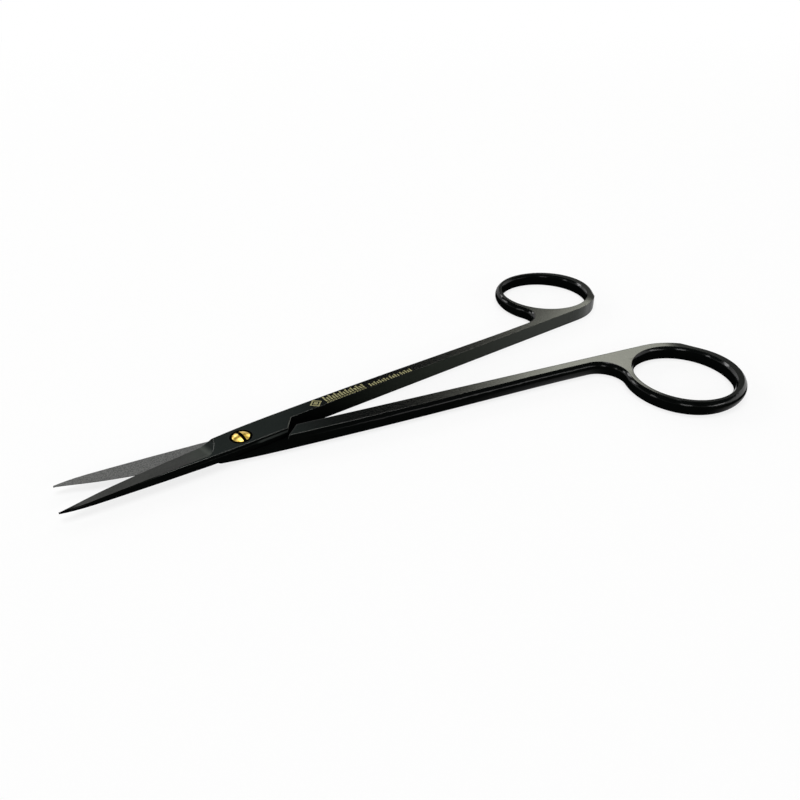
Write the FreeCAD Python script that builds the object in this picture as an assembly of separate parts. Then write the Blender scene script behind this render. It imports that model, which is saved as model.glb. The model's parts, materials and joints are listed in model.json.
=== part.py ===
"""Straight suture scissors with a lap joint: two crossed halves that turn on a slotted screw.

Frame: +X from the tips to the finger rings along the bisector of the open halves, +Z up out of
the screw's head, origin on the pivot's axis in the plane that the scissors lie on. Millimetres.

Each half is one forging. It is drawn closed, with its mating face just above the plane z = 0,
its blade on the -X side and its ring on the +Y side, then turned by the half opening angle.
The lower half is the same forging, rolled over about the X axis.
"""
import FreeCAD, Part
import math
import os
from FreeCAD import Vector

os.makedirs("parts", exist_ok=True)

# Overall sizes of the closed scissors, and how far each half is turned open
OVERALL_LENGTH = 145.2
PIVOT_TO_TIP = 34.9
THICKNESS = 3.3
HALF_OPENING_DEG = 6.85

# Clearances between the two halves and round the screw
MATING_GAP = 0.05
SHANK_GAP = 0.32
RING_GAP = 0.10
SHOULDER_GAP = 0.25
NECK_CLEARANCE = 0.04
HEAD_SIDE_GAP = 0.18
HEAD_SEAT_GAP = 0.03

# Shank: (share of the run from the pivot to the ring's neck, share of the widest reach of the
# outer side from the mid line), widest beside the joint and slimmest at the neck
OUTER_REACH = 4.13
OUTER_SIDE = ((0.0, 0.959), (0.15, 1.0), (0.31, 0.981), (0.51, 0.906), (0.72, 0.789), (0.90, 0.709))
NECK_SHARE = 0.702
NECK_RADIUS = 4.8

# Rounded sides: how far each draws in from its middle to its top and bottom edges
SIDE_CROWN = 0.85
HOLE_CROWN = 0.65

# Finger ring: an oval that reaches further to its free end than to its neck, left flat beside
# the other ring, with a rounder hole a little off its centre
RING_HALF_WIDTH = 13.38
RING_TO_END = 14.30
RING_TO_NECK = 12.60
FLAT_END_DEG = 55.0
HOLE_HALF_LENGTH = 10.60
HOLE_HALF_WIDTH = 11.04
HOLE_TURN_DEG = 19.4
HOLE_OFFSET_X = 0.52
HOLE_OFFSET_Y = 0.17

# Lap joint: the plate at half thickness and the slanted shoulder that ends it
PLATE_ROOT_X = -8.0
PLATE_SIDE_Y = -3.32
PLATE_SIDE_RUN_IN = 5.0
PLATE_CHAMFER = 0.45
SHOULDER_X = 11.1
SHOULDER_SLANT_DEG = 37.1

# Blade: (share of the length from root to tip; cutting edge and spine from the mid line, ridge
# and flank in from the spine, as shares of the root's width; ridge's height and flank's drop
# as shares of the half thickness); the edge starts a step in from the shank's outer side
ROOT_WIDTH = 6.54
ROOT_STEP = 0.06
BLADE = (
    (0.000, 0.514, 0.486, 0.153, 0.067, 0.985, 0.270),
    (0.166, 0.460, 0.437, 0.131, 0.070, 0.920, 0.267),
    (0.387, 0.388, 0.373, 0.098, 0.060, 0.804, 0.236),
    (0.609, 0.294, 0.295, 0.058, 0.035, 0.650, 0.170),
    (0.812, 0.160, 0.217, 0.043, 0.028, 0.478, 0.109),
    (0.937, 0.055, 0.122, 0.028, 0.018, 0.337, 0.061),
    (1.000, 0.009, 0.046, 0.015, 0.011, 0.221, 0.036),
)
FLANK_LEAN = 0.03
EDGE_LAND = 0.08
GRIND_RADIUS = 4.5

# Pivot screw
HEAD_RADIUS = 1.98
HEAD_RIM_BELOW_FACE = 0.12
HEAD_SEAT_DEPTH = 0.62
DOME_HEIGHT = 0.62
SCREW_NECK_RADIUS = 1.30
THREAD_RADIUS = 1.10
SLOT_WIDTH = 0.56
SLOT_DEPTH = 0.62
SLOT_ANGLE_DEG = 101.3
END_POINT = 0.15

# Worked out from the sizes above
HALF_T = THICKNESS / 2.0
FACE_Z = MATING_GAP / 2.0
ROOT_EDGE_Y = BLADE[0][1] * ROOT_WIDTH
ROOT_SIDE_Y = ROOT_EDGE_Y + ROOT_STEP
ROOT_SPINE_Y = BLADE[0][2] * ROOT_WIDTH
SHOULDER_RUN = math.tan(math.radians(SHOULDER_SLANT_DEG))
FLAT_END = math.radians(FLAT_END_DEG)
BEYOND = 5.0
PARING = 0.005
ORIGIN = Vector(0, 0, 0)
UP = Vector(0, 0, 1)
RING_X = OVERALL_LENGTH - PIVOT_TO_TIP - RING_TO_END
INNER_SLOPE = (SHANK_GAP - RING_GAP) / (2.0 * RING_X)


def inner_y(x):
    """Flat inner side's distance from the mid line, which shrinks a little towards the ring."""
    return SHANK_GAP / 2.0 - INNER_SLOPE * x


RING_CENTRE = Vector(RING_X, inner_y(RING_X) + RING_HALF_WIDTH, 0)
HOLE_CENTRE = RING_CENTRE + Vector(HOLE_OFFSET_X, HOLE_OFFSET_Y, 0)


def closed_prism(points, z0, z1):
    """Upright prism over a polygon of (x, y) points."""
    loop = [Vector(x, y, z0) for x, y in points]
    loop.append(loop[0])
    return Part.Face(Part.makePolygon(loop)).extrude(Vector(0, 0, z1 - z0))


def cylinder(radius, z0, z1):
    return Part.makeCylinder(radius, z1 - z0, Vector(0, 0, z0))


def oval(centre, half_length, half_width, turn_deg):
    """Ellipse in the plane z = 0 with its length at an angle from +X."""
    turn = math.radians(turn_deg)
    end = Vector(math.cos(turn), math.sin(turn), 0) * half_length
    side = Vector(-math.sin(turn), math.cos(turn), 0) * half_width
    if half_width > half_length:
        return Part.Ellipse(centre + side, centre - end, centre)
    return Part.Ellipse(centre + end, centre + side, centre)


def arc_between(curve, start, end):
    """Edge along an oval from one point anticlockwise to another."""
    first, last = curve.parameter(start), curve.parameter(end)
    if last < first:
        last += 2.0 * math.pi
    return curve.toShape(first, last)


def ring_oval(half_length):
    return oval(RING_CENTRE, half_length, RING_HALF_WIDTH, 0.0)


def flat_end_point(outward):
    """Place on the ring's free half where its side faces along outward."""
    step = Vector(RING_TO_END ** 2 * outward.x, RING_HALF_WIDTH ** 2 * outward.y, 0)
    return RING_CENTRE + step / math.hypot(RING_TO_END * outward.x, RING_HALF_WIDTH * outward.y)


def neck_arc_points(ring):
    """Arc that touches the end of the shank's outer side and the ring's outer curve."""

    def try_direction(angle):
        ray = Vector(math.cos(angle), math.sin(angle), 0)
        touch = ring.value(ring.parameter(RING_CENTRE + ray * RING_TO_NECK))
        tangent = ring.tangent(ring.parameter(touch))[0]
        outward = Vector(tangent.y, -tangent.x, 0)
        if outward.dot(ray) < 0:
            outward = outward * -1.0
        return touch, touch + outward * NECK_RADIUS

    neck_y = NECK_SHARE * OUTER_REACH
    level, down = math.pi, 1.5 * math.pi
    for _ in range(50):
        middle = (level + down) / 2.0
        if try_direction(middle)[1].y > neck_y + NECK_RADIUS:
            level = middle
        else:
            down = middle
    touch, centre = try_direction(level)
    start = Vector(centre.x, neck_y, 0)
    toward = (touch - centre) + (start - centre)
    return start, centre + toward.normalize() * NECK_RADIUS, touch


def shank_side(neck_start):
    """The shank's outer side, from the blade's root to the neck."""
    points = [Vector(PLATE_ROOT_X, ROOT_SIDE_Y, 0)]
    for along, out in OUTER_SIDE:
        points.append(Vector(along * neck_start.x, out * OUTER_REACH, 0))
    points.append(neck_start)
    side = Part.BSplineCurve()
    side.interpolate(points, InitialTangent=points[1] - points[0], FinalTangent=Vector(1, 0, 0))
    return side


def grip():
    """Shank and ring at full thickness: sharp inner side, round outer side."""
    free_half, neck_half = ring_oval(RING_TO_END), ring_oval(RING_TO_NECK)
    across = Vector(0, RING_HALF_WIDTH, 0)
    run = Vector(math.cos(FLAT_END), math.sin(FLAT_END), 0)
    outward = Vector(run.y, -run.x, 0)
    flat_end = flat_end_point(outward)
    neck_start, neck_middle, neck_end = neck_arc_points(neck_half)
    side = shank_side(neck_start)
    root = side.value(side.FirstParameter)
    near = Vector(PLATE_ROOT_X, inner_y(PLATE_ROOT_X), 0)

    sharp_edges = [Part.makeLine(root, near), Part.makeLine(near, RING_CENTRE - across),
                   arc_between(free_half, RING_CENTRE - across, flat_end)]
    round_edges = [arc_between(free_half, flat_end, RING_CENTRE + across),
                   arc_between(neck_half, RING_CENTRE + across, neck_end),
                   Part.Arc(neck_start, neck_middle, neck_end).toShape(), side.toShape()]
    outline = Part.Wire(Part.__sortEdges__(sharp_edges + round_edges))
    body = Part.Face(outline).extrude(Vector(0, 0, THICKNESS))
    body.translate(Vector(0, 0, -HALF_T))

    run_in = flat_end - run * RING_TO_END
    run_out = root - side.tangent(side.FirstParameter)[0] * BEYOND
    ends = [Part.makeLine(run_in, flat_end), Part.makeLine(run_out, root)]
    path = Part.Wire(Part.__sortEdges__(ends + round_edges))
    return body.cut(round_side_cutter(path, run_in, outward, SIDE_CROWN))


def round_side_cutter(path, start, outward, crown):
    """Sweeps what lies outside a round side along its path, which starts at start."""
    radius = (HALF_T ** 2 + crown ** 2) / (2.0 * crown)
    top = (HALF_T + radius) / 2.0
    drawn_in = radius - math.sqrt(radius ** 2 - top ** 2)
    surface = start - outward * PARING
    high = surface - outward * drawn_in + UP * top
    low = surface - outward * drawn_in - UP * top
    far_high = surface + outward * NECK_RADIUS / 2.0 + UP * top
    far_low = surface + outward * NECK_RADIUS / 2.0 - UP * top
    edges = [Part.Arc(low, surface, high).toShape(), Part.makeLine(high, far_high),
             Part.makeLine(far_high, far_low), Part.makeLine(far_low, low)]
    return path.makePipeShell([Part.Wire(edges)], True, False)


def level_edges(shape, level, wanted):
    """Edges in the plane z = level whose bounding box passes the test."""
    found = []
    for edge in shape.Edges:
        box = edge.BoundBox
        if abs(box.ZMin - level) < 1e-6 and abs(box.ZMax - level) < 1e-6 and wanted(box):
            found.append(edge)
    return found


def shoulder_x(y):
    """Where the slanted shoulder crosses a given distance from the mid line."""
    return SHOULDER_X - SHOULDER_RUN * abs(y)


def joint_plate():
    """The lap joint's plate at half thickness, from the blade's root to the shoulder."""
    cover_y = SHANK_GAP / 2.0 + SIDE_CROWN
    points = [(PLATE_ROOT_X, -ROOT_SPINE_Y), (PLATE_ROOT_X + PLATE_SIDE_RUN_IN, PLATE_SIDE_Y),
              (shoulder_x(PLATE_SIDE_Y), PLATE_SIDE_Y), (SHOULDER_X, 0.0),
              (SHOULDER_X, cover_y), (PLATE_ROOT_X, cover_y)]
    body = closed_prism(points, FACE_Z, HALF_T)

    def on_free_side(box):
        return box.YMax < PLATE_SIDE_Y / 2.0

    return body.makeChamfer(PLATE_CHAMFER, level_edges(body, HALF_T, on_free_side))


def far_shoulder_pocket():
    """What is cut away under the mating face, to seat the other half's plate and shoulder."""
    width = 2.0 * OUTER_REACH
    wall = SHOULDER_X + SHOULDER_GAP
    back = PLATE_ROOT_X - BEYOND
    points = [(back, -width), (wall - SHOULDER_RUN * width, -width), (wall, 0.0),
              (wall - SHOULDER_RUN * width, width), (back, width)]
    return closed_prism(points, -HALF_T - BEYOND, FACE_Z)


def blade():
    """Blade with a flat mating face and one ground facet, lofted from its root to the tip."""
    length = PIVOT_TO_TIP + PLATE_ROOT_X
    sections = []
    for along, edge, spine, ridge_in, flank_in, height, drop in BLADE:
        ridge_z = height * HALF_T
        flank_z = ridge_z - FLANK_LEAN * along
        back_z = flank_z - drop * HALF_T
        points = [(edge, FACE_Z), (edge, FACE_Z + EDGE_LAND), (ridge_in - spine, ridge_z),
                  (flank_in - spine, flank_z), (-spine, back_z), (-spine, FACE_Z)]
        x = PLATE_ROOT_X - along * length
        loop = [Vector(x, share * ROOT_WIDTH, z) for share, z in points]
        loop.append(loop[0])
        sections.append(Part.makePolygon(loop))
    return Part.makeLoft(sections, True, False)


def grind_run_out():
    """The hollow that the grinding wheel leaves where the facet runs out at the root."""
    _, _, _, ridge_in, _, height, _ = BLADE[0]
    low = Vector(PLATE_ROOT_X, ROOT_EDGE_Y, FACE_Z + EDGE_LAND)
    high = Vector(PLATE_ROOT_X, ridge_in * ROOT_WIDTH - ROOT_SPINE_Y, height * HALF_T)
    slope = (high - low).normalize()
    upright = Vector(0, -slope.z, slope.y)
    if upright.z < 0:
        upright = upright * -1.0
    start = low + upright * GRIND_RADIUS - slope * BEYOND
    wheel = Part.makeCylinder(GRIND_RADIUS, 4.0 * BEYOND, start, slope)
    joint_side = Part.makeBox(GRIND_RADIUS, 8.0 * BEYOND, 8.0 * BEYOND,
                              Vector(PLATE_ROOT_X, -4.0 * BEYOND, -BEYOND))
    return wheel.common(joint_side)


def cut_ring_hole(body):
    """Cuts the finger hole with its round side."""
    hole = oval(HOLE_CENTRE, HOLE_HALF_LENGTH, HOLE_HALF_WIDTH, HOLE_TURN_DEG)
    core = oval(HOLE_CENTRE, HOLE_HALF_LENGTH - HOLE_CROWN, HOLE_HALF_WIDTH - HOLE_CROWN, HOLE_TURN_DEG)
    plug = Part.Face(Part.Wire(core.toShape()))
    plug.translate(Vector(0, 0, -THICKNESS))
    body = body.cut(plug.extrude(Vector(0, 0, 2.0 * THICKNESS)))
    start = hole.value(0.0)
    inward = (HOLE_CENTRE - start).normalize()
    return body.cut(round_side_cutter(Part.Wire(hole.toShape()), start, inward, HOLE_CROWN))


def half_forging():
    """One half, closed, before its screw hole is drilled."""
    body = grip().cut(far_shoulder_pocket())
    body = body.fuse(joint_plate())
    body = body.cut(grind_run_out())
    body = body.fuse(blade())
    return cut_ring_hole(body.removeSplitter())


def upper_half():
    """The half under the screw's head, drilled clear and sunk for the head."""
    body = half_forging()
    body = body.cut(cylinder(SCREW_NECK_RADIUS + NECK_CLEARANCE, -HALF_T, THICKNESS))
    body = body.cut(cylinder(HEAD_RADIUS + HEAD_SIDE_GAP, HALF_T - HEAD_SEAT_DEPTH, THICKNESS))
    body.rotate(ORIGIN, UP, HALF_OPENING_DEG)
    return body


def lower_half():
    """The half that holds the screw's thread."""
    body = half_forging()
    body.rotate(ORIGIN, Vector(1, 0, 0), 180.0)
    body = body.cut(cylinder(THREAD_RADIUS, -THICKNESS, 0.0))
    body.rotate(ORIGIN, UP, -HALF_OPENING_DEG)
    return body


def pivot_screw():
    """Domed slotted screw: head, neck that the upper half turns on, and thread, filed flush."""
    seat_z = HALF_T - HEAD_SEAT_DEPTH + HEAD_SEAT_GAP
    rim_z = HALF_T - HEAD_RIM_BELOW_FACE
    top_z = rim_z + DOME_HEIGHT
    profile = [(0.0, -HALF_T), (THREAD_RADIUS - END_POINT, -HALF_T),
               (THREAD_RADIUS, END_POINT - HALF_T), (THREAD_RADIUS, -FACE_Z),
               (SCREW_NECK_RADIUS, -FACE_Z), (SCREW_NECK_RADIUS, seat_z),
               (HEAD_RADIUS, seat_z), (HEAD_RADIUS, rim_z)]
    corners = [Vector(r, 0, z) for r, z in profile]
    dome_r = (HEAD_RADIUS ** 2 + DOME_HEIGHT ** 2) / (2.0 * DOME_HEIGHT)
    half_angle = math.asin(HEAD_RADIUS / dome_r) / 2.0
    top = Vector(0, 0, top_z)
    halfway = Vector(dome_r * math.sin(half_angle), 0, top_z - dome_r * (1.0 - math.cos(half_angle)))
    edges = [Part.makeLine(a, b) for a, b in zip(corners, corners[1:])]
    edges.append(Part.Arc(corners[-1], halfway, top).toShape())
    edges.append(Part.makeLine(top, corners[0]))
    body = Part.Face(Part.Wire(edges)).revolve(ORIGIN, UP, 360.0)
    slot = Part.makeBox(4.0 * HEAD_RADIUS, SLOT_WIDTH, 2.0 * SLOT_DEPTH,
                        Vector(-2.0 * HEAD_RADIUS, -SLOT_WIDTH / 2.0, top_z - SLOT_DEPTH))
    slot.rotate(ORIGIN, UP, SLOT_ANGLE_DEG)
    return body.cut(slot)


def export(name, shape):
    """Lifts a piece so that the scissors lie on z = 0, and writes it."""
    shape.translate(Vector(0, 0, HALF_T))
    print(name, len(shape.Solids), "solid, valid", shape.isValid(), "mm3", round(shape.Volume, 2))
    shape.Solids[0].exportStep(os.path.join("parts", name + ".step"))


export("lower_half", lower_half())
export("upper_half", upper_half())
export("pivot_screw", pivot_screw())
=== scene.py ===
"""Looks of the suture scissors: black coated halves, gilt screw and the gilt scale on a shank.

Metres. Each half's own frame is the one that it is drawn in when closed: u runs from the tips to
the rings along the half's mid line, v towards its own ring, h up from the middle of its
thickness.
"""
import json
import math
import bpy
from mathutils import Matrix, Quaternion, Vector


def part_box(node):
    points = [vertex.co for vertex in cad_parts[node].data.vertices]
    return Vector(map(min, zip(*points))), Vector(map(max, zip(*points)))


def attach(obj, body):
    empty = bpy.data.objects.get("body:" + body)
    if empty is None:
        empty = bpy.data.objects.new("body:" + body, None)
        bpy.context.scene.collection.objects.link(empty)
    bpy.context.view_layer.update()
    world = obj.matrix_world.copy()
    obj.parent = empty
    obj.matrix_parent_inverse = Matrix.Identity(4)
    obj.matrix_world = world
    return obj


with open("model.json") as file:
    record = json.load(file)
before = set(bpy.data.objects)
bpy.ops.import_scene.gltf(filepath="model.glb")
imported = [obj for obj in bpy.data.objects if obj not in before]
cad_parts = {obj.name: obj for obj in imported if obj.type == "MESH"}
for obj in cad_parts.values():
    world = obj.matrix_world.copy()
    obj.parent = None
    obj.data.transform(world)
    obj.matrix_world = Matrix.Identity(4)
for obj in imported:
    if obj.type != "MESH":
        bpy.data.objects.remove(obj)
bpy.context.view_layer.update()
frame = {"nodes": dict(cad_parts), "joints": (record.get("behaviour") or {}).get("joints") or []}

MM = 0.001


def mm(*lengths):
    """Lengths in millimetres as metres."""
    return tuple(each * MM for each in lengths)


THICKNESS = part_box("lower_half")[1][2]
HALF_T = THICKNESS / 2.0
PIVOT = frame["joints"][0]
HALF_OPENING = math.radians(-PIVOT["range_deg"][0] / 2.0)

# Places on a half, in its own frame
BLADE_END_U = -4.6 * MM
HOLE_CENTRE_U, HOLE_CENTRE_V = mm(96.52, 13.60)
HOLE_HALF_LENGTH = 10.60 * MM
HOLE_HALF_WIDTH = 11.04 * MM
HOLE_TURN = math.radians(19.4)

# Masks of place. A mask grows from 0 at the first number to 1 at the second, whichever is larger.
BLADE_U = (BLADE_END_U + 0.3 * MM, BLADE_END_U - 0.3 * MM)
OUTER_FACE_H = mm(1.30, 1.42)
MATING_FACE_H = mm(0.12, 0.06)
INNER_SIDE_U = mm(14.0, 48.0)
INNER_SIDE_V = mm(1.4, 1.0)
RING_U = mm(84.0, 87.0)
WEB_U = mm(93.0, 88.0)
WEB_V = mm(12.0, 8.0)
RIM_U = mm(104.0, 100.0)
RIM_V = mm(6.5, 3.5)
HOLE_LINE = mm(0.48, 0.34)
CLEAR_OF_SCREW = mm(2.26, 2.42)
# Painted highlight along the edges near the joint
EDGE_HIGHLIGHT_U = mm(13.0, 11.0)
EDGE_HIGHLIGHT_H = mm(1.0, 1.3)
RICASSO_U = mm(-13.0, -7.0)
TIP_U = mm(-31.0, -33.5)
# Painted highlight strip along the side of the joint plate, just below its top edge
HIGHLIGHT_FROM_U = mm(1.5, 3.0)
HIGHLIGHT_TO_U = mm(9.7, 9.2)
HIGHLIGHT_FROM_H = mm(0.90, 1.00)
HIGHLIGHT_TO_H = mm(1.42, 1.32)
GLOSS_U = mm(8.0, 46.0)
RING_GLOSS_U = mm(90.0, 100.0)
LOW_GLOSS_U = mm(40.0, 92.0)
BEFORE_RING_U = mm(84.0, 74.0)
FREE_END_U = mm(92.0, 103.0)
OUTSIDE_RING = mm(0.0, 2.0)

# Masks of direction: the same, for one part of the surface's normal
LEVEL = (0.955, 0.985)
GROUND_TILT = (0.72, 0.79)
SQUARE_TO_SIDE = (0.93, 0.98)
# Painted shade on the ground facet where its normal turns towards the tips
SHADE_TOWARD_TIPS = (0.14, 0.42)
HIGHLIGHT_SIDE = (0.4, 0.6)
TURNED_UP = (0.38, 0.52)
NOT_QUITE_LEVEL = (0.94, 0.80)
TURNED_DOWN = (0.20, 0.0)
EDGE_HIGHLIGHT_TURN = (0.975, 0.90)
EDGE_ROUND_RADIUS = 0.26 * MM

# Grains: noise per metre, and the stretch of the ones that are drawn out
SPECKLE = 9000.0
COARSE = 3600.0
COARSE_SPREAD = (0.30, 0.70)
CLOUD = 260.0
WHEEL = 14000.0
ALONG_WHEEL = (1.0, 0.10, 0.10)
PITS = 12000.0
TARNISH = 1500.0
TARNISH_SPREAD = (0.40, 0.70)
SCRATCH = 9000.0
ALONG_SCRATCH = (1.0, 0.06, 1.0)
GRAIN_DEPTH = 0.01 * MM

# Shares: how much of a mask reaches the coating's metal, satin, gloss and roughness
HOLE_LINE_SATIN = 0.8
RING_SATIN_LOSS = 0.72
EDGE_HIGHLIGHT_SHARE = 0.38
SIDE_METAL, GROUND_METAL, MATING_METAL = 0.30, 0.25, 0.30
HIGH_GLOSS, RING_GLOSS_GAIN = 0.45, 0.40
LOW_GLOSS, FREE_END_GLOSS = 0.36, 1.4
ROUGH, LEVEL_ROUGH, GROUND_ROUGH, SPECKLE_ROUGH = 0.17, 0.03, 0.22, 0.06

# Screw: its slot, and the painted shade in the slot and round the edge of its head
SLOT_HALF_WIDTH = 0.29 * MM
SLOT_ANGLE = math.radians(101.3)
SLOT_EDGE = (SLOT_HALF_WIDTH + 0.07 * MM, SLOT_HALF_WIDTH + 0.03 * MM)
HEAD_EDGE = mm(1.72, 1.80)
GILT_METAL, DARK_METAL_LOSS = 0.75, 0.70

# Gilt scale, in millimetres in the upper half's own frame
SCALE_SUNK = 0.006
SCALE_PROUD = 0.008
LOZENGE_PLACE = (17.85, 1.66)
LOZENGES = ((1.46, 1.00), (0.62, 0.02))
ROW_BARS, ROW_START, ROW_PITCH, ROW_TAPER = 15, 20.0, 0.67, 0.03
ROW_FOOT, ROW_WIDTH, ROW_TALL, ROW_SHORT = 0.92, 0.40, 2.05, 1.45
DASH_FOOT, DASH_WIDTH, DASH_HEIGHT = 0.34, 0.44, 0.32
SMALL_GROUPS = ((31.0, 8), (36.4, 4), (39.2, 5))
SMALL_PITCH, SMALL_FOOT, SMALL_WIDTH, SMALL_TALL, SMALL_SHORT = 0.64, 0.40, 0.36, 1.25, 0.90

# Floor: its white glow for the eye grows with the distance from the scissors
FLOOR_REACH = 6.0
FLOOR_LEVEL = -0.02 * MM
NEAR_GLOW, FAR_GLOW_GAIN = 0.80, 0.20
GLOW_DISTANCE = (0.25, 0.80)

# Lamps: name, azimuth, elevation, width, height and roll in degrees, radiance, colour
WHITE = (1.0, 1.0, 1.0)
SOFTBOXES = [
    ("overhead", 90, 86, 40, 40, 0, 4.1, WHITE),
    ("behind_rings", 41.5, 27, 10, 36, -28, 4.6, (1.0, 0.99, 0.90)),
    ("joint_fill", 79, 36, 13, 18, 0, 0.21, (0.80, 1.0, 0.97)),
    ("front_strip", -68, 17, 34, 6, 0, 5.4, WHITE),
    ("front_left", -126, 24, 18, 13, 0, 6.5, WHITE),
    ("left_strip", 170, 21, 9, 17, 0, 5.0, WHITE),
    ("back_left", 121, 23, 12, 12, 0, 6.0, WHITE),
    ("screw_glint", 98, 25, 9, 9, 0, 9.0, WHITE)]
LAMP_DISTANCE = 2.0
LAMP_AIM = Vector((35.0 * MM, 0, 0))
WORLD_DARK_FROM = math.radians(23.0)
WORLD_WHITE_BELOW = math.radians(15.0)

# Camera: the photograph's view of the scissors, whose frame is 800 pixels square
PHOTO_PIXELS = 800
FOCAL_PIXELS = 718.6
SENSOR_WIDTH = 36.0
CAMERA_AZIMUTH = math.radians(-27.93)
CAMERA_ELEVATION = math.radians(33.0)
CAMERA_ROLL = math.radians(-0.94)
CAMERA_DISTANCE = 155.1 * MM
CAMERA_LOOK = Vector((34.76 * MM, -1.65 * MM, HALF_T))
CLIP_START, CLIP_END = 5.0 * MM, 50.0


class Signal:
    """A shader socket that can be used in sums: each sum adds a Math node."""

    def __init__(self, finish, socket):
        self.finish = finish
        self.socket = socket

    def maths(self, operation, first, second=0.0):
        return self.finish.node("ShaderNodeMath", {"operation": operation}, {0: first, 1: second})

    def __add__(self, other):
        return self.maths("ADD", self, other)

    __radd__ = __add__

    def __sub__(self, other):
        return self.maths("SUBTRACT", self, other)

    def __rsub__(self, other):
        return self.maths("SUBTRACT", other, self)

    def __mul__(self, other):
        return self.maths("MULTIPLY", self, other)

    __rmul__ = __mul__

    def __truediv__(self, other):
        return self.maths("DIVIDE", self, other)

    def __neg__(self):
        return 0.0 - self

    def __abs__(self):
        return self.maths("ABSOLUTE", self)

    def root(self):
        return self.maths("SQRT", self)

    def at_least(self, other):
        """The larger of the two."""
        return self.maths("MAXIMUM", self, other)

    def at_most(self, other):
        """The smaller of the two."""
        return self.maths("MINIMUM", self, other)

    def rise(self, low, high):
        """0 below low, 1 above high, smooth between; falls instead where low is above high."""
        if low > high:
            return 1.0 - self.rise(high, low)
        return self.finish.node("ShaderNodeMapRange", {"interpolation_type": "SMOOTHSTEP"},
                                {"Value": self, "From Min": low, "From Max": high})


class Finish:
    """Node tree of one material or of the world, while it is made."""

    def __init__(self, owner):
        self.owner = owner
        owner.use_nodes = True
        self.tree = owner.node_tree

    def node(self, kind, settings=None, inputs=None, output=0):
        """Adds a node: first its settings, then its inputs; gives one of its outputs."""
        made = self.tree.nodes.new(kind)
        for name, value in (settings or {}).items():
            setattr(made, name, value)
        for name, value in (inputs or {}).items():
            self.feed(made.inputs[name], value)
        return Signal(self, made.outputs[output])

    def feed(self, socket, value):
        """Links a signal to a socket, or sets a plain value on it."""
        if isinstance(value, Signal):
            self.tree.links.new(value.socket, socket)
        else:
            socket.default_value = value

    def coordinates(self, output):
        """Texture coordinates of one kind."""
        return self.node("ShaderNodeTexCoord", {}, {}, output)

    def turn(self, vector, angle):
        """A vector turned about the upright axis."""
        return self.node("ShaderNodeVectorRotate", {"rotation_type": "Z_AXIS"},
                         {"Vector": vector, "Angle": angle})

    def blend(self, amount, low, high):
        """Colour between two colours."""
        return self.node("ShaderNodeMix", {"data_type": "RGBA"},
                         {"Factor": amount, "A": low, "B": high}, "Result")

    def split(self, vector):
        """The three parts of a vector."""
        made = self.node("ShaderNodeSeparateXYZ", {}, {0: vector}).socket.node
        return [Signal(self, out) for out in made.outputs]

    def grain(self, vector, scale, detail, stretch=(1.0, 1.0, 1.0)):
        """Noise from 0 to 1, drawn out along the axes where stretch is small."""
        drawn = self.node("ShaderNodeVectorMath", {"operation": "MULTIPLY"},
                          {0: vector, 1: stretch}, "Vector")
        return self.node("ShaderNodeTexNoise", {},
                         {"Vector": drawn, "Scale": scale, "Detail": detail}, "Fac")

    def bump(self, strength, height, extra=None):
        """Normal of a surface with a fine relief."""
        inputs = {"Strength": strength, "Distance": GRAIN_DEPTH, "Height": height}
        inputs.update(extra or {})
        return self.node("ShaderNodeBump", {}, inputs, "Normal")

    def dress(self, values):
        """Sets or links the inputs of the material's shader."""
        shader = self.tree.nodes["Principled BSDF"]
        for name, value in values.items():
            self.feed(shader.inputs[name], value)


def new_finish(name):
    return Finish(bpy.data.materials.new(name))


def paint(piece, finish):
    """Gives every material slot of a piece one finish."""
    if not piece.material_slots:
        piece.data.materials.append(finish.owner)
    for slot in piece.material_slots:
        slot.material = finish.owner


def new_piece(name, corners, faces):
    """Mesh object from its corners and faces."""
    mesh = bpy.data.meshes.new(name)
    mesh.from_pydata(corners, [], faces)
    piece = bpy.data.objects.new(name, mesh)
    bpy.context.collection.objects.link(piece)
    return piece


def length(first, second):
    """Length of the vector with these two parts."""
    return (first * first + second * second).root()


def own_frame(finish, side):
    """Position and normal in a half's own frame: side is 1 for the upper half, -1 for the lower."""
    place = finish.coordinates("Object")
    facing = finish.coordinates("Normal")
    turned = finish.turn(place, -side * HALF_OPENING)
    faced = finish.turn(facing, -side * HALF_OPENING)
    u, v, z = finish.split(turned)
    forward, outward, upright = finish.split(faced)
    return turned, u, v * side, (z - HALF_T) * side, forward, outward * side, upright


def beyond_hole(u, v):
    """Distance outside the edge of the finger hole, which is a slightly turned oval."""
    along, across = u - HOLE_CENTRE_U, v - HOLE_CENTRE_V
    cosine, sine = math.cos(HOLE_TURN), math.sin(HOLE_TURN)
    first = (along * cosine + across * sine) / HOLE_HALF_LENGTH
    second = (across * cosine - along * sine) / HOLE_HALF_WIDTH
    return (length(first, second) - 1.0) * HOLE_HALF_WIDTH


def satin_on_ring(u, v):
    """Share of satin on the flat top: all of it on the web and along the hole, less elsewhere."""
    web = v.rise(*WEB_V) * u.rise(*WEB_U)
    rim = v.rise(*RIM_V) * u.rise(*RIM_U)
    hole_line = beyond_hole(u, v).rise(*HOLE_LINE)
    kept = web.at_least(rim).at_least(hole_line * HOLE_LINE_SATIN)
    return 1.0 - u.rise(*RING_U) * (1.0 - kept) * RING_SATIN_LOSS


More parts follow.
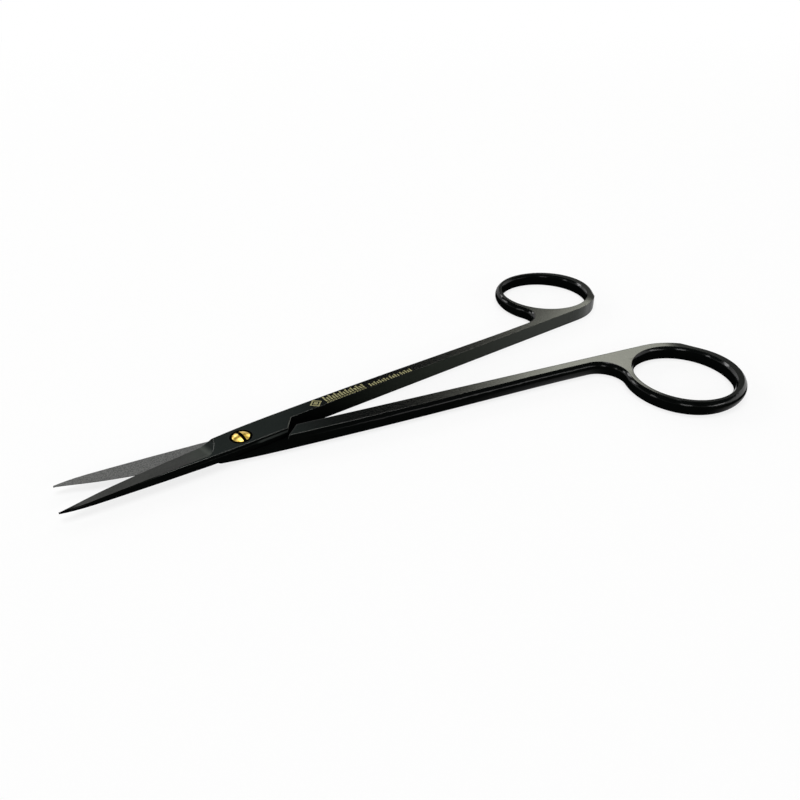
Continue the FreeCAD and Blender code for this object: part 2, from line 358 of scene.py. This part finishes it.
def coating_gloss(u, v, forward, outward, upright, inner_side, at_blade):
    """Weight of the glossy coat: rounds that face up, the shank's lower side and the rings' ends."""
    high = upright.rise(*TURNED_UP) * upright.rise(*NOT_QUITE_LEVEL) * u.rise(*GLOSS_U)
    before_ring = u.rise(*BEFORE_RING_U).at_least(inner_side)
    from_hole = (u - HOLE_CENTRE_U) * forward + (v - HOLE_CENTRE_V) * outward
    free_end = u.rise(*FREE_END_U) * from_hole.rise(*OUTSIDE_RING)
    low = upright.rise(*TURNED_DOWN) * (u.rise(*LOW_GLOSS_U) * before_ring + FREE_END_GLOSS * free_end)
    high_share = HIGH_GLOSS + RING_GLOSS_GAIN * u.rise(*RING_GLOSS_U)
    return (high_share * high + LOW_GLOSS * low) * (1.0 - at_blade)


def black_coating(name, side):
    """Black coated steel: satin flats, glossy rounded sides, grey ground blade faces."""
    finish = new_finish(name)
    place, u, v, h, forward, outward, upright = own_frame(finish, side)

    # Where each surface of the half is
    level = abs(upright).rise(*LEVEL)
    at_blade = u.rise(*BLADE_U)
    mating = at_blade * level * abs(h).rise(*MATING_FACE_H)
    ground = at_blade * (1.0 - level) * abs(upright).rise(*GROUND_TILT)
    inner_side = (-outward).rise(*SQUARE_TO_SIDE) * v.rise(*INNER_SIDE_V) * (1.0 - at_blade)
    inner_side = inner_side * u.rise(*INNER_SIDE_U)
    clear_of_screw = length(u, v).rise(*CLEAR_OF_SCREW)
    satin = level * abs(h).rise(*OUTER_FACE_H) * satin_on_ring(u, v) * clear_of_screw
    # Painted highlight: a lighter strip along the joint plate's side, below its top edge, for the light
    # caught by the rounded edge
    painted_highlight_strip = u.rise(*HIGHLIGHT_FROM_U) * u.rise(*HIGHLIGHT_TO_U) * (-outward).rise(*HIGHLIGHT_SIDE)
    painted_highlight_strip = painted_highlight_strip * abs(h).rise(*HIGHLIGHT_FROM_H) * abs(h).rise(*HIGHLIGHT_TO_H)

    # Edges near the joint get a painted highlight: lighter where the rounded normal leaves the true one
    edge_normal = finish.node("ShaderNodeBevel", {"samples": 6}, {"Radius": EDGE_ROUND_RADIUS})
    true_normal = finish.node("ShaderNodeNewGeometry", {}, {}, "Normal")
    turn = finish.node("ShaderNodeVectorMath", {"operation": "DOT_PRODUCT"},
                       {0: edge_normal, 1: true_normal}, "Value")
    painted_edge_highlight = turn.rise(*EDGE_HIGHLIGHT_TURN) * u.rise(*EDGE_HIGHLIGHT_U) * clear_of_screw * abs(h).rise(*EDGE_HIGHLIGHT_H)

    speckle = finish.grain(place, SPECKLE, 2.0)
    cloud = finish.grain(place, CLOUD, 3.0)
    coarse = finish.grain(place, COARSE, 1.0).rise(*COARSE_SPREAD)
    wheel_lines = finish.grain(place, WHEEL, 2.0, ALONG_WHEEL)

    # Ground facet: painted shade where its normal turns towards the tips, darker at the very tip,
    # greenish at the ricasso
    gloss_black = finish.blend(cloud, (0.0013, 0.0016, 0.0015, 1), (0.0024, 0.0029, 0.0026, 1))
    ricasso_grey = finish.blend(cloud, (0.044, 0.049, 0.044, 1), (0.078, 0.086, 0.076, 1))
    facet_grey = finish.blend(wheel_lines * 0.4 + coarse * 0.3 + cloud * 0.3,
                              (0.034, 0.035, 0.034, 1), (0.084, 0.085, 0.081, 1))
    facet_grey = finish.blend(u.rise(*RICASSO_U), facet_grey, ricasso_grey)
    # Painted shade: the ground facet is darkened where its normal turns towards the tips
    facet_grey = finish.blend((-forward).rise(*SHADE_TOWARD_TIPS), facet_grey, (0.016, 0.019, 0.018, 1))
    facet_grey = finish.blend(u.rise(*TIP_U), facet_grey, gloss_black)

    satin_black = finish.blend(speckle * 0.5 + cloud * 0.5,
                               (0.066, 0.068, 0.065, 1), (0.094, 0.096, 0.091, 1))
    mating_grey = finish.blend(speckle * 0.2 + coarse * 0.5 + wheel_lines * 0.3,
                               (0.060, 0.061, 0.059, 1), (0.222, 0.223, 0.218, 1))
    # Painted reflection: the shank's flat inner side is coloured lighter and greener than the black,
    # for the floor it reflects
    colour = finish.blend(inner_side, gloss_black, (0.017, 0.020, 0.016, 1))
    colour = finish.blend(satin, colour, satin_black)
    colour = finish.blend(ground, colour, facet_grey)
    # Painted highlight strip on the joint plate's side
    colour = finish.blend(painted_highlight_strip, colour, (0.024, 0.027, 0.025, 1))
    colour = finish.blend(mating, colour, mating_grey)
    # Painted highlight: lighter colour along the edges near the joint
    colour = finish.blend(painted_edge_highlight * EDGE_HIGHLIGHT_SHARE, colour, (0.075, 0.080, 0.074, 1))

    metal = satin + inner_side * SIDE_METAL + ground * GROUND_METAL + mating * MATING_METAL
    rough = ROUGH + LEVEL_ROUGH * level + GROUND_ROUGH * (ground + mating)
    rough = rough + SPECKLE_ROUGH * (speckle - 0.5)
    relief = speckle * level + wheel_lines * ground
    finish.dress({"Base Color": colour,
                  "Metallic": metal,
                  "Roughness": rough,
                  "Coat Weight": coating_gloss(u, v, forward, outward, upright, inner_side, at_blade),
                  "Normal": finish.bump(0.10, relief, {"Normal": edge_normal}),
                  "Specular IOR Level": 0.0,
                  "Specular Tint": (0.5, 0.5, 0.5, 1),
                  "Coat Roughness": 0.14,
                  "Coat IOR": 1.5})
    return finish


def gilt(name):
    """Polished gilt screw with painted shade in its slot and round the edge of its head."""
    finish = new_finish(name)
    place = finish.coordinates("Object")
    turned = finish.turn(place, -SLOT_ANGLE)
    along, across, _ = finish.split(turned)
    # Painted shade: near black across the slot and a little beyond it, and in a ring round the edge of
    # the head
    dark = abs(across).rise(*SLOT_EDGE).at_least(length(along, across).rise(*HEAD_EDGE))
    tarnish = finish.grain(place, TARNISH, 4.0)
    scratches = finish.grain(turned, SCRATCH, 2.0, ALONG_SCRATCH)
    gold = finish.blend(tarnish.rise(*TARNISH_SPREAD), (0.96, 0.68, 0.17, 1), (0.40, 0.24, 0.03, 1))
    finish.dress({"Base Color": finish.blend(dark, gold, (0.0015, 0.0013, 0.0008, 1)),
                  "Metallic": GILT_METAL - dark * DARK_METAL_LOSS,
                  "Roughness": 0.20 + 0.14 * tarnish + 0.10 * scratches + 0.3 * dark,
                  "Specular IOR Level": 0.0,
                  "Normal": finish.bump(0.15, tarnish)})
    return finish


def gilt_etching(name):
    """Dull khaki gold of the etched scale."""
    finish = new_finish(name)
    pits = finish.grain(finish.coordinates("Object"), PITS, 2.0)
    finish.dress({"Base Color": finish.blend(pits, (0.15, 0.142, 0.062, 1), (0.40, 0.370, 0.170, 1)),
                  "Metallic": 0.3,
                  "Roughness": 0.42 + 0.2 * pits})
    return finish


def put_in_upper_half(u, v):
    """Turns a place from the upper half's own frame to where it is at rest."""
    return Matrix.Rotation(HALF_OPENING, 2) @ Vector((u, v))


def etched_scale():
    """Graduated bars and a plain lozenge on the upper half's shank."""
    sunk, proud = THICKNESS - SCALE_SUNK * MM, THICKNESS + SCALE_PROUD * MM
    corners, faces = [], []

    def tile(outline):
        base = len(corners)
        count = len(outline)
        for z in (sunk, proud):
            for u, v in outline:
                x, y = put_in_upper_half(u * MM, v * MM)
                corners.append((x, y, z))
        faces.append([base + i for i in reversed(range(count))])
        faces.append([base + count + i for i in range(count)])
        for i in range(count):
            j = (i + 1) % count
            faces.append([base + i, base + j, base + count + j, base + count + i])

    def bar(u, v, width, height):
        tile([(u, v), (u + width, v), (u + width, v + height), (u, v + height)])

    def lozenge(u, v, outer, inner):
        ways = [(1, 0), (0, 1), (-1, 0), (0, -1)]
        for (a, b), (c, d) in zip(ways, ways[1:] + ways[:1]):
            tile([(u + a * inner, v + b * inner), (u + a * outer, v + b * outer),
                  (u + c * outer, v + d * outer), (u + c * inner, v + d * inner)])

    for outer, inner in LOZENGES:
        lozenge(*LOZENGE_PLACE, outer, inner)
    for step in range(ROW_BARS):
        start = ROW_START + ROW_PITCH * step
        tall = (ROW_TALL if step % 2 == 0 else ROW_SHORT) - ROW_TAPER * step
        bar(start, ROW_FOOT, ROW_WIDTH, tall)
        bar(start, DASH_FOOT, DASH_WIDTH, DASH_HEIGHT)
    for first, count in SMALL_GROUPS:
        for step in range(count):
            tall = SMALL_TALL if step % 2 == 0 else SMALL_SHORT
            bar(first + SMALL_PITCH * step, SMALL_FOOT, SMALL_WIDTH, tall)

    piece = new_piece("etched_scale", corners, faces)
    paint(piece, gilt_etching("gilt_etching"))
    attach(piece, "upper")


def pale_floor():
    """White floor that keeps the shadow; eye, gloss and glass see it nearly at full white."""
    reach, level = FLOOR_REACH, FLOOR_LEVEL
    floor = new_piece("floor", [(-reach, -reach, level), (reach, -reach, level), (reach, reach, level),
                                (-reach, reach, level)], [(0, 1, 2, 3)])
    finish = new_finish("pale_floor")
    finish.tree.nodes.remove(finish.tree.nodes["Principled BSDF"])
    rays = finish.node("ShaderNodeLightPath").socket.node
    camera, gloss, glass = [Signal(finish, rays.outputs[f"Is {kind} Ray"])
                            for kind in ("Camera", "Glossy", "Transmission")]
    seen = (camera + gloss + glass).at_most(1.0)
    away = finish.node("ShaderNodeVectorMath", {"operation": "LENGTH"},
                       {0: finish.coordinates("Object")}, "Value")
    share = seen * (NEAR_GLOW + FAR_GLOW_GAIN * away.rise(*GLOW_DISTANCE))
    matt = finish.node("ShaderNodeBsdfDiffuse", {}, {"Color": (0.97, 0.97, 0.97, 1)})
    glow = finish.node("ShaderNodeEmission", {}, {"Color": (*WHITE, 1), "Strength": 1.0})
    mixed = finish.node("ShaderNodeMixShader", {}, {0: share, 1: matt, 2: glow})
    finish.feed(finish.tree.nodes["Material Output"].inputs["Surface"], mixed)
    paint(floor, finish)


def softbox(name, azimuth_deg, elevation_deg, wide_deg, high_deg, roll_deg, radiance, colour):
    """Rectangular lamp aimed at the scissors; azimuth from +X towards +Y, size as angles seen there."""
    lamp = bpy.data.lights.new(name, "AREA")
    lamp.shape = "RECTANGLE"
    lamp.size = 2.0 * LAMP_DISTANCE * math.tan(math.radians(wide_deg / 2.0))
    lamp.size_y = 2.0 * LAMP_DISTANCE * math.tan(math.radians(high_deg / 2.0))
    lamp.energy = radiance * math.pi * lamp.size * lamp.size_y
    lamp.color = colour
    azimuth, elevation = math.radians(azimuth_deg), math.radians(elevation_deg)
    away = Vector((math.cos(azimuth) * math.cos(elevation),
                   math.sin(azimuth) * math.cos(elevation),
                   math.sin(elevation)))
    holder = bpy.data.objects.new(name, lamp)
    holder.location = LAMP_AIM + away * LAMP_DISTANCE
    aim = away.to_track_quat("Z", "Y") @ Quaternion((0, 0, 1), math.radians(roll_deg))
    holder.rotation_euler = aim.to_euler()
    holder.visible_camera = False
    bpy.context.collection.objects.link(holder)


def studio_light():
    """Soft lamp overhead, a softbox behind the rings, small ones for the glints, dark surroundings."""
    for row in SOFTBOXES:
        softbox(*row)
    world = bpy.data.worlds.new("studio")
    bpy.context.scene.world = world
    finish = Finish(world)
    _, _, height = finish.split(finish.coordinates("Generated"))
    pale = height.rise(math.sin(WORLD_DARK_FROM), math.sin(WORLD_WHITE_BELOW))
    finish.feed(finish.tree.nodes["Background"].inputs["Color"],
                finish.blend(pale, (0.022, 0.026, 0.027, 1), (*WHITE, 1)))


def place_camera():
    """Camera at the photograph's viewpoint."""
    lens = bpy.data.cameras.new("camera")
    lens.sensor_width = SENSOR_WIDTH
    lens.lens = SENSOR_WIDTH * FOCAL_PIXELS / PHOTO_PIXELS
    lens.clip_start = CLIP_START
    lens.clip_end = CLIP_END
    back = Vector((math.sin(CAMERA_AZIMUTH) * math.cos(CAMERA_ELEVATION),
                   -math.cos(CAMERA_AZIMUTH) * math.cos(CAMERA_ELEVATION),
                   math.sin(CAMERA_ELEVATION)))
    right = Vector((0, 0, 1)).cross(back).normalized()
    above = back.cross(right)
    rolled_right = right * math.cos(CAMERA_ROLL) + above * math.sin(CAMERA_ROLL)
    rolled_above = above * math.cos(CAMERA_ROLL) - right * math.sin(CAMERA_ROLL)
    axes = Matrix((rolled_right, rolled_above, back)).transposed()
    camera = bpy.data.objects.new("camera", lens)
    camera.matrix_world = Matrix.Translation(CAMERA_LOOK + back * CAMERA_DISTANCE) @ axes.to_4x4()
    bpy.context.collection.objects.link(camera)
    bpy.context.scene.camera = camera


bpy.context.scene.view_settings.view_transform = "Standard"
place_camera()
studio_light()
pale_floor()
paint(frame["nodes"]["upper_half"], black_coating("black_coating_upper", 1))
paint(frame["nodes"]["lower_half"], black_coating("black_coating_lower", -1))
paint(frame["nodes"]["pivot_screw"], gilt("gilt_screw"))
etched_scale()
